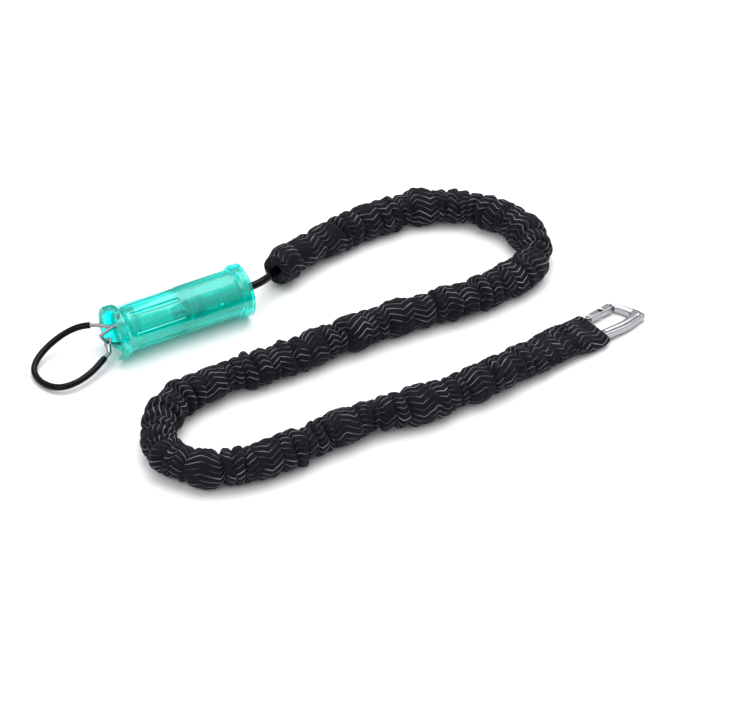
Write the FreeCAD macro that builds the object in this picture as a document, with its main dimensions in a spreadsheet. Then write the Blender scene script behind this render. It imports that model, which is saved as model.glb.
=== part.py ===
import FreeCAD, Part
import math
import os
import re

import Sketcher

# Elastic safety leash with a push-away quick release at one end and a snap hook at the other.
# Millimetres, +Z up, the leash lying on the plane z = 0. The release points along -X, and the
# elastic webbing runs from its back end in an S to the snap hook. The origin is on the plane,
# under the centre of the box round the release and the hook.

SIZES = {
    # where the two hard ends lie
    "mouth_x": -189.0,            # front of the release sleeve
    "axis_y": 83.0,               # axis of the release
    "tab_x": 152.1,               # outer end of the flat webbing tab, at its middle
    "tab_y": -83.5,
    "tab_heading": 8.0,           # degrees from +X
    # release sleeve
    "sleeve_length": 116.0,
    "flange_radius": 22.0,
    "flat_distance": 21.5,        # axis to each of the four flats on the flanges
    "flange_width": 7.0,
    "flange_slope": 5.0,
    "front_radius": 18.8,
    "rear_radius": 19.4,
    "step_position": 60.0,        # where the thicker rear half begins
    "sleeve_bore": 16.0,
    "mouth_radius": 19.6,
    "bell_depth": 8.0,
    "notch_radius": 14.0,         # saddle cut through the mouth, above and below
    "notch_depth": 8.0,
    "groove_depth": 0.7,
    "groove_width": 2.2,
    "groove_length": 30.0,
    "groove_start": 17.0,
    "cap_seat_radius": 17.6,      # counterbore that the rear cap sits in
    "cap_thickness": 4.5,
    "cap_inset": 1.5,
    # hub of the rear cap, the spring round it and the swivel
    "hub_radius": 8.0,
    "hub_bore": 5.2,
    "hub_length": 37.0,
    "seat_radius": 6.4,           # step at the hub's front end that the spring seat sits on
    "seat_thickness": 3.0,
    "seat_outer": 12.2,
    "wire_radius": 0.7,
    "spring_radius": 10.4,
    "spring_turns": 6.0,
    # core
    "head_start": 8.0,
    "head_length": 12.0,
    "nose_radius": 8.6,
    "nose_bore": 6.8,
    "nose_bore_start": 24.0,
    "wall_start": 64.0,           # front wall of the spring barrel
    "wall_thickness": 4.0,
    "barrel_radius": 14.7,
    "barrel_bore": 13.0,
    "core_gap": 0.3,              # core's back end to the rear cap
    "ring_thickness": 2.0,
    "rib_width": 2.4,
    "slot_width": 3.6,
    "slot_length": 14.0,
    # release hook
    "pivot_x": 12.0,
    "pivot_height": 9.0,
    "pivot_radius": 1.3,
    "hook_wire": 1.3,
    "hook_arc": 22.0,
    "hook_heading": 200.0,        # degrees from +X towards +Z, of the straight leg
    "hook_sweep": 72.0,
    "boss_radius": 3.6,
    "boss_width": 3.0,
    "cam_reach": 7.5,
    "cam_width": 3.0,
    "cam_heading": 132.0,
    # cable loop
    "cable_radius": 1.7,
    "cover_radius": 2.6,
    "cover_gap": 0.1,
    "eye_radius": 3.2,
    "eye_wire": 0.9,
    "eye_heading": 228.0,         # where the loop's eye hangs on the hook
    "eye_lean": 30.0,
    "eye_ferrule_radius": 2.1,
    "eye_ferrule_length": 6.5,
    "fixed_ferrule_radius": 2.7,
    "fixed_ferrule_length": 11.0,
    "fixed_side": 6.6,
    # shank
    "rope_radius": 2.0,
    "hose_radius": 3.2,
    "stopper_radius": 5.4,
    "stopper_length": 8.0,
    "washer_thickness": 1.6,
    "washer_radius": 6.4,
    "clamp_radius": 6.0,
    "clamp_length": 13.0,
    # webbing
    "webbing_radius": 14.5,
    "webbing_bore": 6.6,
    "bungee_radius": 5.0,
    "hem_length": 2.5,
    "hem_radius": 13.8,
    "hem_bore": 8.0,
    "tab_width": 38.0,
    "tab_thickness": 12.0,
    "tab_flat": 17.0,
    "tab_taper": 17.0,
    "tab_corner": 4.0,
    "mouth_wall": 1.3,
    "mouth_side_wall": 2.6,
    "mouth_depth": 11.0,
    "strap_thickness": 1.2,
    "stitch_width": 26.0,
    "stitch_height": 0.3,
    "stitch_line": 0.8,
    "stitch_first": 12.5,         # in from the tab's outer end
    "stitch_spacing": 2.0,
    # snap hook, whose sizes start from the middle of its webbing bar
    "bar_inset": 3.5,
    "bar_radius": 2.6,
    "snap_thickness": 6.0,
    "snap_tilt": 3.0,
    "spine_outer": -13.4,
    "spine_inner": -5.8,
    "leg_inner": 10.6,
    "leg_outer": 16.0,
    "leg_end": 4.3,
    "gate_pin_x": 7.5,
    "gate_pin_radius": 1.4,
    "gate_eye_x": 21.5,
    "gate_eye_side": 14.6,
    "gate_eye_radius": 1.8,
    "tongue_thickness": 2.2,
    "spring_pocket": 8.0,         # length past the tongue of the leaf's pocket in the gate
    "spring_pocket_width": 3.0,
    "leaf_thickness": 0.6,
    "bill_x": 33.8,
    "bill_outer": 18.7,
    "bill_inner": 11.4,
    "edge_round": 0.8,
    # clearances
    "running_gap": 0.3,           # pieces that slide or swing past each other
    "pivot_gap": 0.05,            # shafts in their holes
}

# Free-lying routes, as points of the centre line. They are chosen by hand and stay as chosen.
WEBBING_ROUTE = [
    (-34.0, 98.0, 17.0), (-6.0, 112.0, 14.9), (40.0, 120.0, 14.6), (86.0, 125.0, 14.6),
    (128.0, 115.0, 14.6), (158.0, 89.0, 14.6), (172.0, 51.0, 14.6), (162.0, 15.0, 14.6),
    (128.0, -6.0, 14.6), (80.0, -7.0, 14.6), (24.0, -3.0, 14.6), (-36.0, -2.5, 14.6),
    (-90.0, -5.5, 14.6), (-138.0, -1.0, 14.6), (-176.0, -7.0, 14.6), (-204.0, -25.0, 14.6),
    (-216.0, -55.0, 14.6), (-202.0, -89.0, 14.6), (-166.0, -102.0, 14.6), (-120.0, -102.5, 14.6),
    (-70.0, -97.0, 14.6), (-14.0, -105.5, 14.6), (44.0, -103.5, 14.6), (88.8, -92.4, 14.6),
    (118.4, -88.2, 14.6),
]
LOOP_ROUTE = [
    (-203.5, 69.5, 9.4), (-215.0, 62.5, 8.2), (-229.0, 58.0, 6.8), (-242.5, 59.5, 5.2),
    (-250.5, 69.0, 3.9), (-253.5, 82.0, 3.2), (-251.0, 94.5, 4.2), (-242.0, 102.5, 7.4),
    (-229.0, 107.5, 11.6), (-214.5, 109.5, 15.8), (-202.5, 106.5, 19.2), (-192.5, 98.0, 21.6),
    (-187.0, 91.3, 21.8),
]

ALONG_X = FreeCAD.Rotation(FreeCAD.Vector(0, 1, 0), 90)
ALONG_Y = FreeCAD.Rotation(FreeCAD.Vector(1, 0, 0), -90)
UPRIGHT = FreeCAD.Rotation()
COIL_STEPS = 10                   # points to a turn of the return spring
CORE_END = "sleeve_length - cap_thickness - cap_inset - core_gap"

doc = FreeCAD.newDocument("elastic_safety_leash")
sheet = doc.addObject("Spreadsheet::Sheet", "Sizes")
for row, (alias, number) in enumerate(SIZES.items(), start=1):
    sheet.set("A%d" % row, alias)
    sheet.set("B%d" % row, str(number))
    sheet.setAlias("B%d" % row, alias)
doc.recompute()

parts = []


def formula(words):
    """Turn plain alias words into an expression on the sheet."""
    return re.sub(r"[a-z_]+", lambda word: qualify(word.group(0)), str(words))


def qualify(word):
    return "Sizes." + word if word in SIZES else word


def value(words):
    """Number that an expression on the sheet gives now."""
    return float(sheet.evalExpression(formula(words)))


def bind(thing, **sizes):
    for name, words in sizes.items():
        thing.setExpression(name, formula(words))
    return thing


def place(thing, x, y, z, rotation=UPRIGHT):
    """Put an object at a place given by expressions."""
    thing.Placement = FreeCAD.Placement(FreeCAD.Vector(value(x), value(y), value(z)), rotation)
    for axis, words in (("x", x), ("y", y), ("z", z)):
        thing.setExpression("Placement.Base." + axis, formula(words))
    return thing


def on_axis(x, side="0", height="0"):
    """Expressions for a point of the release: along its axis, to its left, above it."""
    return "mouth_x + " + x, "axis_y + " + side, "flat_distance + " + height


def cylinder(name, radius, length, where, rotation=ALONG_X):
    solid = bind(doc.addObject("Part::Cylinder", name), Radius=radius, Height=length)
    return place(solid, *where, rotation)


def box(name, length, width, height, where, rotation=UPRIGHT):
    solid = bind(doc.addObject("Part::Box", name), Length=length, Width=width, Height=height)
    return place(solid, *where, rotation)


def cut(name, base, tools):
    """Subtract the tools, one after the other."""
    result = base
    for number, tool in enumerate(tools, start=1):
        step = doc.addObject("Part::Cut", "%s_cut_%d" % (name, number))
        step.Base = result
        step.Tool = tool
        result = step
    return result


def fuse(name, solids):
    joined = doc.addObject("Part::MultiFuse", name + "_joined")
    joined.Shapes = solids
    joined.Refine = True
    return joined


def keep(label, thing):
    """Register a finished sub-part under its node name."""
    thing.Label = label
    parts.append(thing)
    return thing


def turned(name, outline):
    """PartDesign body turned about the release axis from (along, radius) expressions."""
    body = doc.addObject("PartDesign::Body", name)
    sketch = body.newObject("Sketcher::SketchObject", name + "_outline")
    plane = next(f for f in body.Origin.OriginFeatures if f.Role == "XY_Plane")
    sketch.AttachmentSupport = (plane, [""])
    sketch.MapMode = "FlatFace"
    corners = [FreeCAD.Vector(value(along), value(radius), 0) for along, radius in outline]
    for start, end in zip(corners, corners[1:] + corners[:1]):
        sketch.addGeometry(Part.LineSegment(start, end))
    count = len(outline)
    for number in range(count):
        sketch.addConstraint(Sketcher.Constraint("Coincident", number, 2, (number + 1) % count, 1))
    for number, (along, radius) in enumerate(outline):
        for kind, words, start in (("DistanceX", along, corners[number].x),
                                   ("DistanceY", radius, corners[number].y)):
            index = sketch.addConstraint(Sketcher.Constraint(kind, -1, 1, number, 1, start))
            sketch.setExpression("Constraints[%d]" % index, formula(words))
    turn = body.newObject("PartDesign::Revolution", name + "_turned")
    turn.Profile = sketch
    turn.ReferenceAxis = (sketch, ["H_Axis"])
    turn.Angle = 360.0
    return place(body, *on_axis("0"))


def rounded_path(points):
    """Edges of straight runs joined by tangent arcs, and the radii of the arcs."""
    corners = [FreeCAD.Vector(*point) for point in points]
    edges = []
    radii = []
    last = corners[0]
    for before, here, after in zip(corners, corners[1:], corners[2:]):
        back = before - here
        ahead = after - here
        reach = 0.45 * min(back.Length, ahead.Length)
        back.normalize()
        ahead.normalize()
        half_turn = (math.pi - back.getAngle(ahead)) / 2
        radius = reach / math.tan(half_turn)
        inward = back + ahead
        inward.normalize()
        middle = here + inward * (radius / math.cos(half_turn) - radius)
        start = here + back * reach
        end = here + ahead * reach
        edges.append(Part.LineSegment(last, start).toShape())
        edges.append(Part.Arc(start, middle, end).toShape())
        radii.append(radius)
        last = end
    edges.append(Part.LineSegment(last, corners[-1]).toShape())
    return edges, radii


def swept(edges, radius):
    """Round bar along a run of edges."""
    path = Part.Wire(edges)
    first = edges[0]
    start = first.valueAt(first.FirstParameter)
    ahead = first.tangentAt(first.FirstParameter)
    ring = Part.Wire(Part.makeCircle(radius, start, ahead))
    return path.makePipeShell([ring], True, True)


def tube(label, edges, outer, bore=0.0):
    """Free-lying cord or hose, as a plain feature, with its volume compared with its length."""
    shape = swept(edges, outer)
    section = math.pi * outer ** 2
    if bore:
        shape = shape.cut(swept(edges, bore))
        section -= math.pi * bore ** 2
    length = sum(edge.Length for edge in edges)
    print("%s: length %.1f, volume / (section x length) %.4f" % (label, length, shape.Volume / (section * length)))
    return plain(label, shape)


def plain(label, shape):
    feature = doc.addObject("Part::Feature", label)
    feature.Shape = shape
    feature.Placement = FreeCAD.Placement()
    return keep(label, feature)


# Release sleeve: flanged grip, thicker behind its middle, with a saddle-shaped bell mouth.
def release_sleeve():
    rear_flange = "sleeve_length - flange_width"
    cap_seat = "sleeve_length - cap_thickness - cap_inset"
    grip = turned("sleeve_grip", [
        ("0", "mouth_radius"), ("0", "flange_radius"), ("flange_width", "flange_radius"),
        ("flange_width + flange_slope", "front_radius"), ("step_position - 1", "front_radius"),
        ("step_position + 1", "rear_radius"), (rear_flange + " - flange_slope", "rear_radius"),
        (rear_flange, "flange_radius"), ("sleeve_length", "flange_radius"),
        ("sleeve_length", "cap_seat_radius"), (cap_seat, "cap_seat_radius"),
        (cap_seat, "sleeve_bore"), ("bell_depth", "sleeve_bore"),
    ])
    tools = [cylinder("mouth_saddle", "notch_radius", "4 * flange_radius",
                      on_axis("notch_depth - notch_radius", "0", "-2 * flange_radius"), UPRIGHT)]
    for number in range(4):
        turn = FreeCAD.Rotation(FreeCAD.Vector(1, 0, 0), 90.0 * number)
        tools.append(radial_box("flange_flat_%d" % number, turn, "0", "sleeve_length",
                                "2 * flange_radius", "flat_distance", "flange_radius"))
    for number in range(8):
        turn = FreeCAD.Rotation(FreeCAD.Vector(1, 0, 0), 22.5 + 45.0 * number)
        tools.append(radial_box("grip_groove_%d" % number, turn, "groove_start", "groove_length",
                                "groove_width", "front_radius - groove_depth", "2 * groove_depth"))
    keep("release_sleeve", cut("release_sleeve", grip, tools))


def radial_box(name, turn, start, length, width, inner, depth):
    """Box that stands on the release axis at an angle, from an inner radius outwards."""
    side = turn.multVec(FreeCAD.Vector(0, 1, 0))
    out = turn.multVec(FreeCAD.Vector(0, 0, 1))
    block = doc.addObject("Part::Box", name)
    bind(block, Length=length, Width=width, Height=depth)
    shift = "(%s) * %.6f - (" + width + ") / 2 * %.6f"
    return place(block, "mouth_x + " + start,
                 "axis_y + " + shift % (inner, out.y, side.y),
                 "flat_distance + " + shift % (inner, out.z, side.z), turn)


# Rear cap: dished disc in the sleeve's back end, with the hub that carries the spring seat.
def rear_cap():
    seat = "sleeve_length - cap_thickness - cap_inset"
    back = "sleeve_length - cap_inset"
    hub_front = seat + " - hub_length"
    keep("rear_cap", turned("rear_cap_disc", [
        (hub_front, "hub_bore"), (hub_front, "seat_radius"), (hub_front + " + seat_thickness", "seat_radius"),
        (hub_front + " + seat_thickness", "hub_radius"), (seat, "hub_radius"),
        (seat, "cap_seat_radius"), (back, "cap_seat_radius"), (back, "cap_seat_radius - 2"),
        (back + " - 2.5", "hub_radius"), (back + " - 1.5", "hub_bore + 0.5"), (back + " - 2", "hub_bore"),
    ]))
    keep("spring_seat", turned("spring_seat_ring", [
        (hub_front, "seat_radius"), (hub_front, "seat_outer"),
        (hub_front + " + seat_thickness", "seat_outer"), (hub_front + " + seat_thickness", "seat_radius"),
    ]))


# Return spring, squeezed between the seat on the hub and the ring at the barrel's end. Its coil
# is short runs joined by tangent arcs.
def return_spring():
    front = "sleeve_length - cap_thickness - cap_inset - hub_length + seat_thickness"
    length = value(CORE_END + " - ring_thickness - (" + front + ") - 2 * wire_radius")
    start = value("mouth_x + wire_radius + " + front)
    count = round(value("spring_turns") * COIL_STEPS)
    reach = value("spring_radius") / math.cos(math.pi / COIL_STEPS)
    points = []
    for number in range(count + 1):
        turn = 2 * math.pi * number / COIL_STEPS
        points.append((start + length * number / count,
                       value("axis_y") + reach * math.cos(turn),
                       value("flat_distance") + reach * math.sin(turn)))
    edges, radii = rounded_path(points)
    plain("return_spring", swept(edges, value("wire_radius")))


# Core: slotted head in the mouth, hollow nose, and the ribbed barrel that houses the spring.
def core():
    head_end = "head_start + head_length"
    outer = "sleeve_bore - running_gap"
    spool = turned("core_spool", [
        ("head_start", "0"), ("head_start", outer), (head_end, outer),
        (head_end + " + 4", "nose_radius"), ("wall_start - 3", "nose_radius"),
        ("wall_start", "barrel_radius"), (CORE_END + " - ring_thickness", "barrel_radius"),
        (CORE_END + " - ring_thickness", "barrel_bore"), ("wall_start + wall_thickness", "barrel_bore"),
        ("wall_start + wall_thickness", "rope_radius + running_gap"),
        ("wall_start", "rope_radius + running_gap"), ("wall_start", "nose_bore"),
        ("nose_bore_start", "nose_bore"), ("nose_bore_start", "0"),
    ])
    solids = [spool]
    for number in range(8):
        turn = FreeCAD.Rotation(FreeCAD.Vector(1, 0, 0), 22.5 + 45.0 * number)
        solids.append(radial_box("barrel_rib_%d" % number, turn, "wall_start",
                                 CORE_END + " - ring_thickness - wall_start", "rib_width",
                                 "barrel_radius - 0.5", "0.5 + " + outer + " - barrel_radius - 0.05"))
    tools = [
        box("hook_slot", "slot_length", "slot_width", "4 * sleeve_bore",
            on_axis("head_start", "-slot_width / 2", "-2 * sleeve_bore")),
        cylinder("pivot_hole", "pivot_radius", "4 * sleeve_bore",
                 on_axis("pivot_x", "-2 * sleeve_bore", "pivot_height"), ALONG_Y),
        cylinder("loop_socket", "fixed_ferrule_radius", "fixed_ferrule_length",
                 on_axis("head_start", "fixed_side"), ALONG_X),
        box("stopper_window", "stopper_length + 4", "4 * nose_radius", "2 * stopper_radius",
            on_axis("wall_start - stopper_length - washer_thickness - 3", "-2 * nose_radius",
                    "-stopper_radius")),
    ]
    keep("core_body", cut("core_body", fuse("core_spool", solids), tools))
    keep("core_end_ring", turned("core_ring", [
        (CORE_END + " - ring_thickness", "hub_radius + running_gap"), (CORE_END + " - ring_thickness", outer),
        (CORE_END, outer), (CORE_END, "hub_radius + running_gap"),
    ]))
    half_pin = "sqrt((%s)^2 - (pivot_height + pivot_radius)^2) - running_gap" % outer
    keep("hook_pivot_pin", cylinder("pivot_rod", "pivot_radius", "2 * " + half_pin,
                                    on_axis("pivot_x", "-(" + half_pin + ")", "pivot_height"), ALONG_Y))
    keep("fixed_end_ferrule", cylinder("fixed_end", "fixed_ferrule_radius", "fixed_ferrule_length",
                                       on_axis("head_start", "fixed_side")))


def upright_turn(heading):
    """Rotation that sets an upright axis at a heading in the XZ plane, from +X towards +Z."""
    return FreeCAD.Rotation(FreeCAD.Vector(0, -1, 0), value(heading) - 90.0)


def round_pivot(reach, heading):
    """Expressions for a point at a reach and a heading from the release hook's pivot."""
    return on_axis("pivot_x + (%s) * cos(1deg * (%s))" % (reach, heading), "0",
                   "pivot_height + (%s) * sin(1deg * (%s))" % (reach, heading))


# Release hook: a bent wire round its own pivot, so that it draws out of the loop's eye on an arc.
# The cam on its boss lies under the sleeve's front edge and blocks it until the sleeve is back.
def release_hook():
    tip = "hook_heading + hook_sweep"
    leg = cylinder("hook_leg", "hook_wire", "hook_arc", round_pivot("0", "0"), upright_turn("hook_heading"))
    arc = bind(doc.addObject("Part::Torus", "hook_bend"), Radius1="hook_arc", Radius2="hook_wire",
               Angle3="hook_sweep")
    lying = FreeCAD.Rotation(FreeCAD.Vector(1, 0, 0), 90)
    about_pivot = FreeCAD.Rotation(FreeCAD.Vector(0, -1, 0), value("hook_heading"))
    place(arc, *round_pivot("0", "0"), about_pivot.multiply(lying))
    ends = []
    for name, heading in (("hook_apex", "hook_heading"), ("hook_tip", tip)):
        ball = bind(doc.addObject("Part::Sphere", name), Radius="hook_wire")
        ends.append(place(ball, *round_pivot("hook_arc", heading)))
    x, y, z = round_pivot("0", "0")
    boss = cylinder("hook_boss", "boss_radius", "boss_width", (x, y + " - boss_width / 2", z), ALONG_Y)
    cam = bind(doc.addObject("Part::Box", "hook_cam"), Length="cam_width", Width="boss_width",
               Height="cam_reach")
    turn = upright_turn("cam_heading")
    side = turn.multVec(FreeCAD.Vector(1, 0, 0))
    place(cam, x + " - cam_width / 2 * %.6f" % side.x, y + " - boss_width / 2",
          z + " - cam_width / 2 * %.6f" % side.z, turn)
    hole = cylinder("hook_pivot_hole", "pivot_radius + pivot_gap", "2 * boss_width",
                    (x, y + " - boss_width", z), ALONG_Y)
    keep("release_hook", cut("release_hook", fuse("release_hook", [leg, arc, boss, cam] + ends), [hole]))


# Cable loop: an eye on the release hook, its ferrule, the cable and its plastic cover.
def cable_loop():
    turn = FreeCAD.Rotation(FreeCAD.Vector(0, -1, 0), value("eye_heading"))
    ring = bind(doc.addObject("Part::Torus", "eye_ring"), Radius1="eye_radius", Radius2="eye_wire")
    middle = round_pivot("hook_arc", "eye_heading")
    place(ring, *middle, turn)
    heading = math.radians(value("eye_heading"))
    lean = math.radians(value("eye_lean"))
    out = FreeCAD.Vector(math.cos(heading) * math.sin(lean), -math.cos(lean),
                         math.sin(heading) * math.sin(lean))
    along = FreeCAD.Rotation(FreeCAD.Vector(0, 0, 1), out)
    start = [words + " + eye_radius * %.6f" % step for words, step in zip(middle, out)]
    keep("loop_ferrule", cylinder("eye_ferrule", "eye_ferrule_radius", "eye_ferrule_length", start, along))
    shadow = cylinder("eye_ferrule_space", "eye_ferrule_radius", "eye_ferrule_length", start, along)
    keep("loop_eye", cut("loop_eye", ring, [shadow]))

    reach = value("eye_radius + eye_ferrule_length")
    first = FreeCAD.Vector(*[value(words) for words in middle]) + out * reach
    last = [value(words) for words in on_axis("head_start", "fixed_side")]
    edges, radii = rounded_path([tuple(first)] + LOOP_ROUTE + [tuple(last)])
    print("loop radii", ["%.0f" % radius for radius in radii])
    cable = value("cable_radius")
    tube("loop_cable", edges, cable)
    tube("loop_cover", edges[1:-5], value("cover_radius"), cable + value("cover_gap"))


# Shank: the rope that the release swivels on, with its stopper, washer and glossy hose.
def shank(first_run):
    stopper_end = "wall_start - washer_thickness - pivot_gap"
    keep("rope_stopper", turned("rope_stopper_bead", [
        (stopper_end + " - stopper_length", "0"), (stopper_end + " - stopper_length", "stopper_radius - 1.5"),
        (stopper_end + " - stopper_length + 1.5", "stopper_radius"), (stopper_end, "stopper_radius"),
        (stopper_end, "0"),
    ]))
    keep("swivel_washer", turned("swivel_washer_ring", [
        ("wall_start - washer_thickness", "rope_radius + running_gap"),
        ("wall_start - washer_thickness", "washer_radius"), ("wall_start", "washer_radius"),
        ("wall_start", "rope_radius + running_gap"),
    ]))
    hose_start = value("wall_start + wall_thickness") + 1.0
    inside = first_run[0] + first_run[1] * first_run[2]
    straight_end = value("sleeve_length") + 16.0
    axis = [(value("mouth_x") + along, value("axis_y"), value("flat_distance"))
            for along in (value(stopper_end), straight_end)]
    edges, radii = rounded_path([axis[0], axis[1], tuple(first_run[0]), tuple(inside)])
    print("shank radii", ["%.0f" % radius for radius in radii])
    hose_point = (value("mouth_x") + hose_start, value("axis_y"), value("flat_distance"))
    bend_start = edges[0].valueAt(edges[0].LastParameter)
    hose_edges = [Part.LineSegment(FreeCAD.Vector(*hose_point), bend_start).toShape()] + edges[1:]
    gap = value("pivot_gap")
    tube("shank_rope", edges, value("rope_radius"))
    tube("shank_hose", hose_edges, value("hose_radius"), value("rope_radius") + gap)


# Elastic webbing: a bungee cord crimped at both ends inside a gathered tube of webbing.
def elastic():
    edges, radii = rounded_path(WEBBING_ROUTE)
    print("webbing radii", ["%.0f" % radius for radius in radii])
    tube("webbing_sleeve", edges, value("webbing_radius"), value("webbing_bore"))
    tube("bungee_core", edges[1:-1], value("bungee_radius"))
    length = value("clamp_length")
    for label, edge, backwards in (("bungee_start_clamp", edges[0], True),
                                   ("bungee_end_clamp", edges[-1], False)):
        ahead = edge.tangentAt(edge.FirstParameter)
        end = edge.LastParameter if backwards else edge.FirstParameter
        point = edge.valueAt(end)
        start = point - ahead * length if backwards else point
        crimp = Part.makeCylinder(value("clamp_radius"), length, start, ahead)
        plain(label, crimp)
    ahead = edges[0].tangentAt(edges[0].FirstParameter)
    begin = edges[0].valueAt(edges[0].FirstParameter)
    hem = Part.makeCylinder(value("hem_radius"), value("hem_length"), begin, ahead * -1)
    plain("webbing_hem", hem.cut(Part.makeCylinder(value("hem_bore"), value("hem_length"), begin, ahead * -1)))
    inside = edges[0].Length - length
    return begin, ahead, inside


def tab_frame():
    """Placement of the webbing tab: its outer end's middle on the plane, local +X outwards."""
    turn = FreeCAD.Rotation(FreeCAD.Vector(0, 0, 1), value("tab_heading"))
    return FreeCAD.Placement(FreeCAD.Vector(value("tab_x"), value("tab_y"), 0), turn)


def bar_frame():
    """Placement of the snap hook: the middle of its webbing bar, tilted to the plane."""
    tilt = FreeCAD.Rotation(FreeCAD.Vector(0, 1, 0), value("snap_tilt"))
    at_bar = FreeCAD.Placement(FreeCAD.Vector(-value("bar_inset"), 0, value("tab_thickness") / 2), tilt)
    return tab_frame().multiply(at_bar)


def set_in(frame, label, shape):
    """Keep a shape that is drawn in a frame of its own."""
    feature = doc.addObject("Part::Feature", label)
    feature.Shape = shape
    feature.Placement = frame
    return keep(label, feature)


def rounded_section(along, width, height, middle, corner):
    """Closed wire across the tab: a rectangle with round corners."""
    y_flat = width / 2 - corner
    z_flat = height / 2 - corner
    diagonal = corner * math.sqrt(0.5)
    edges = []
    last = None
    corners = ((1, 1), (-1, 1), (-1, -1), (1, -1))
    for number, (side, up) in enumerate(corners):
        centre = FreeCAD.Vector(along, side * y_flat, middle + up * z_flat)
        flank = centre + FreeCAD.Vector(0, side * corner, 0)
        top = centre + FreeCAD.Vector(0, 0, up * corner)
        bend = centre + FreeCAD.Vector(0, side * diagonal, up * diagonal)
        start, end = (flank, top) if number % 2 == 0 else (top, flank)
        if last is not None:
            edges.append(Part.LineSegment(last, start).toShape())
        edges.append(Part.Arc(start, bend, end).toShape())
        last = end
    first = edges[0].valueAt(edges[0].FirstParameter)
    edges.append(Part.LineSegment(last, first).toShape())
    return Part.Wire(edges)


# Webbing tab: the tube pressed flat and sewn, open at its end for the snap hook's bar.
def webbing_tab():
    frame = tab_frame()
    flat = value("tab_flat")
    back = flat + value("tab_taper")
    thickness = value("tab_thickness")
    width = value("tab_width")
    radius = value("webbing_radius")
    round_end = rounded_section(-back, 2 * radius, 2 * radius, WEBBING_ROUTE[-1][2], radius - 0.5)
    flat_start = rounded_section(-flat, width, thickness, thickness / 2, value("tab_corner"))
    taper = Part.makeLoft([round_end, flat_start], True, True)
    pad = Part.Face(flat_start).extrude(FreeCAD.Vector(flat, 0, 0))
    depth = value("mouth_depth")
    wall = value("mouth_wall")
    half = width / 2 - value("mouth_side_wall")
    mouth = Part.makeBox(depth, 2 * half, thickness - 2 * wall, FreeCAD.Vector(-depth, -half, wall))
    set_in(frame, "webbing_tab", taper.fuse(pad).removeSplitter().cut(mouth))

    strap_in = value("spine_inner + 2 * running_gap")
    strap = value("leg_inner - 2 * running_gap") - strap_in
    bar_hole = value("bar_radius + running_gap")
    wrap_radius = bar_hole + value("strap_thickness")
    inset = value("bar_inset")
    middle = thickness / 2
    left = FreeCAD.Vector(-inset, strap_in, middle)
    across = FreeCAD.Vector(0, 1, 0)
    wrap = Part.makeCylinder(wrap_radius, strap, left, across)
    tail = Part.makeBox(depth - inset, strap, 2 * value("strap_thickness"),
                        FreeCAD.Vector(-depth, strap_in, middle - value("strap_thickness")))
    hole = Part.makeCylinder(bar_hole, strap, left, across)
    set_in(frame, "load_strap", wrap.fuse(tail).removeSplitter().cut(hole))

    rows = []
    for number in range(2):
        row = value("stitch_first") + number * value("stitch_spacing")
        rows.append(Part.makeBox(value("stitch_line"), value("stitch_width"), value("stitch_height"),
                                 FreeCAD.Vector(-row, -value("stitch_width") / 2, thickness)))
    set_in(frame, "tab_stitching", Part.makeCompound(rows))


def prism(edges, thickness, round_edges):
    """Flat piece from its outline, centred on its own plane, with its long edges rounded."""
    face = Part.Face(Part.Wire(edges))
    face.translate(FreeCAD.Vector(0, 0, -thickness / 2))
    solid = face.extrude(FreeCAD.Vector(0, 0, thickness))
    rims = [edge for edge in solid.Edges if abs(edge.CenterOfMass.z) > thickness / 2 - 0.001]
    return solid.makeFillet(round_edges, rims) if round_edges else solid


def line(start, end):
    return Part.LineSegment(FreeCAD.Vector(*start, 0), FreeCAD.Vector(*end, 0)).toShape()


def bend(start, middle, end):
    return Part.Arc(*[FreeCAD.Vector(*point, 0) for point in (start, middle, end)]).toShape()


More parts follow.
